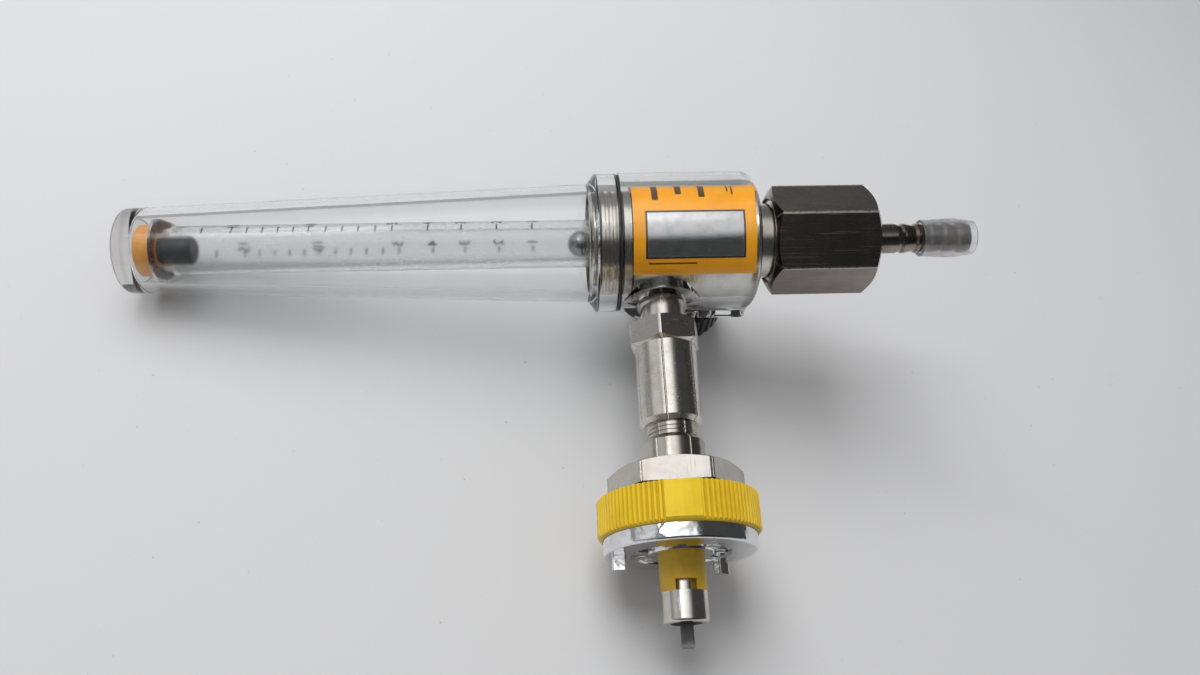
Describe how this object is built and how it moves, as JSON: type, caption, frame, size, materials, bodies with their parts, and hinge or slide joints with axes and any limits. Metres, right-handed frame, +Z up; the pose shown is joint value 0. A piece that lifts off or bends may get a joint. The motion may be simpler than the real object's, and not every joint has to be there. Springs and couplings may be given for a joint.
{
  "type": "medical air flowmeter",
  "caption": "Medical air flowmeter: clear tapered flow tube on a plated valve body, side control knob, indexed wall probe behind and barbed hose outlet below.",
  "frame": {"origin": "centre of the face plate's seating face, on the wall probe's axis", "axes": "+Z up along the flow tube, +Y out of the seating face into the wall, +X towards the control knob"},
  "size_m": [0.0471, 0.1066, 0.1958],
  "materials": {
    "nickel": "nickel plated, turned",
    "nut_nickel": "worn nickel plate",
    "clear_plastic": "clear, polished",
    "frosted_tube": "frosted",
    "amber_plug": "glossy",
    "black_plastic": "satin",
    "knob_black": "moulded, fluted",
    "yellow_plastic": "moulded",
    "chrome": "polished over a cast surface",
    "label_orange": "printed film",
    "serial_silver": "printed foil",
    "rubber_black": "matte",
    "tubing_vinyl": "soft, cloudy",
    "ball_steel": "polished",
    "steel": "satin",
    "sintered_bronze": "sintered",
    "washer_white": "matte",
    "pin_black": "worn at the tip"
  },
  "bodies": {
    "body": {"valve_body": "nickel", "body_shell": "clear_plastic", "label": "label_orange", "serial_plate": "serial_silver", "cover_gasket": "rubber_black", "outer_cover": "clear_plastic", "flow_tube": "frosted_tube", "foot_o_ring": "rubber_black", "ball_seat": "nickel", "float_stop": "black_plastic", "top_plug": "amber_plug", "valve_bonnet": "nickel", "stem_o_ring": "rubber_black", "inlet_pipe": "nickel", "inlet_coupling": "nickel", "inlet_filter": "sintered_bronze", "filter_washer": "washer_white", "adapter_hub": "nickel", "colour_ring": "yellow_plastic", "face_plate": "chrome", "plate_screws": "steel", "probe_stem": "nickel", "probe_o_ring": "rubber_black", "probe_sleeve": "yellow_plastic", "probe_seal": "rubber_black", "probe_pin": "pin_black"},
    "float": {"float_ball": "ball_steel"},
    "needle": {"needle_stem": "steel"},
    "knob": {"knob": "knob_black", "knob_screw": "steel"},
    "nipple": {"nipple": "nickel", "tubing_stub": "tubing_vinyl", "outlet_o_ring": "rubber_black"},
    "nut": {"hex_nut": "nut_nickel"}
  },
  "joints": [
    {"name": "float_travel", "type": "slide", "parent": "body", "child": "float", "axis": [0, 0, 1], "range_m": [0, 0.0843]},
    {"name": "needle_travel", "type": "slide", "parent": "body", "child": "needle", "axis": [1, 0, 0], "range_m": [0, 0.00121]},
    {"name": "knob_turn", "type": "hinge", "parent": "needle", "child": "knob", "pos_m": [0, -0.07255, -0.008], "axis": [1, 0, 0], "range_deg": [0, 540]},
    {"name": "nipple_travel", "type": "slide", "parent": "body", "child": "nipple", "axis": [0, 0, -1], "range_m": [0, 0.01275]},
    {"name": "nut_turn", "type": "hinge", "parent": "nipple", "child": "nut", "pos_m": [0, -0.07255, -0.038], "axis": [0, 0, -1], "range_deg": [0, 2880]}
  ],
  "couplings": [
    {"joint": "needle_travel", "follows": "knob_turn", "m_per_rad": 0.00012732},
    {"joint": "nipple_travel", "follows": "nut_turn", "m_per_rad": 0.00025266}
  ]
}
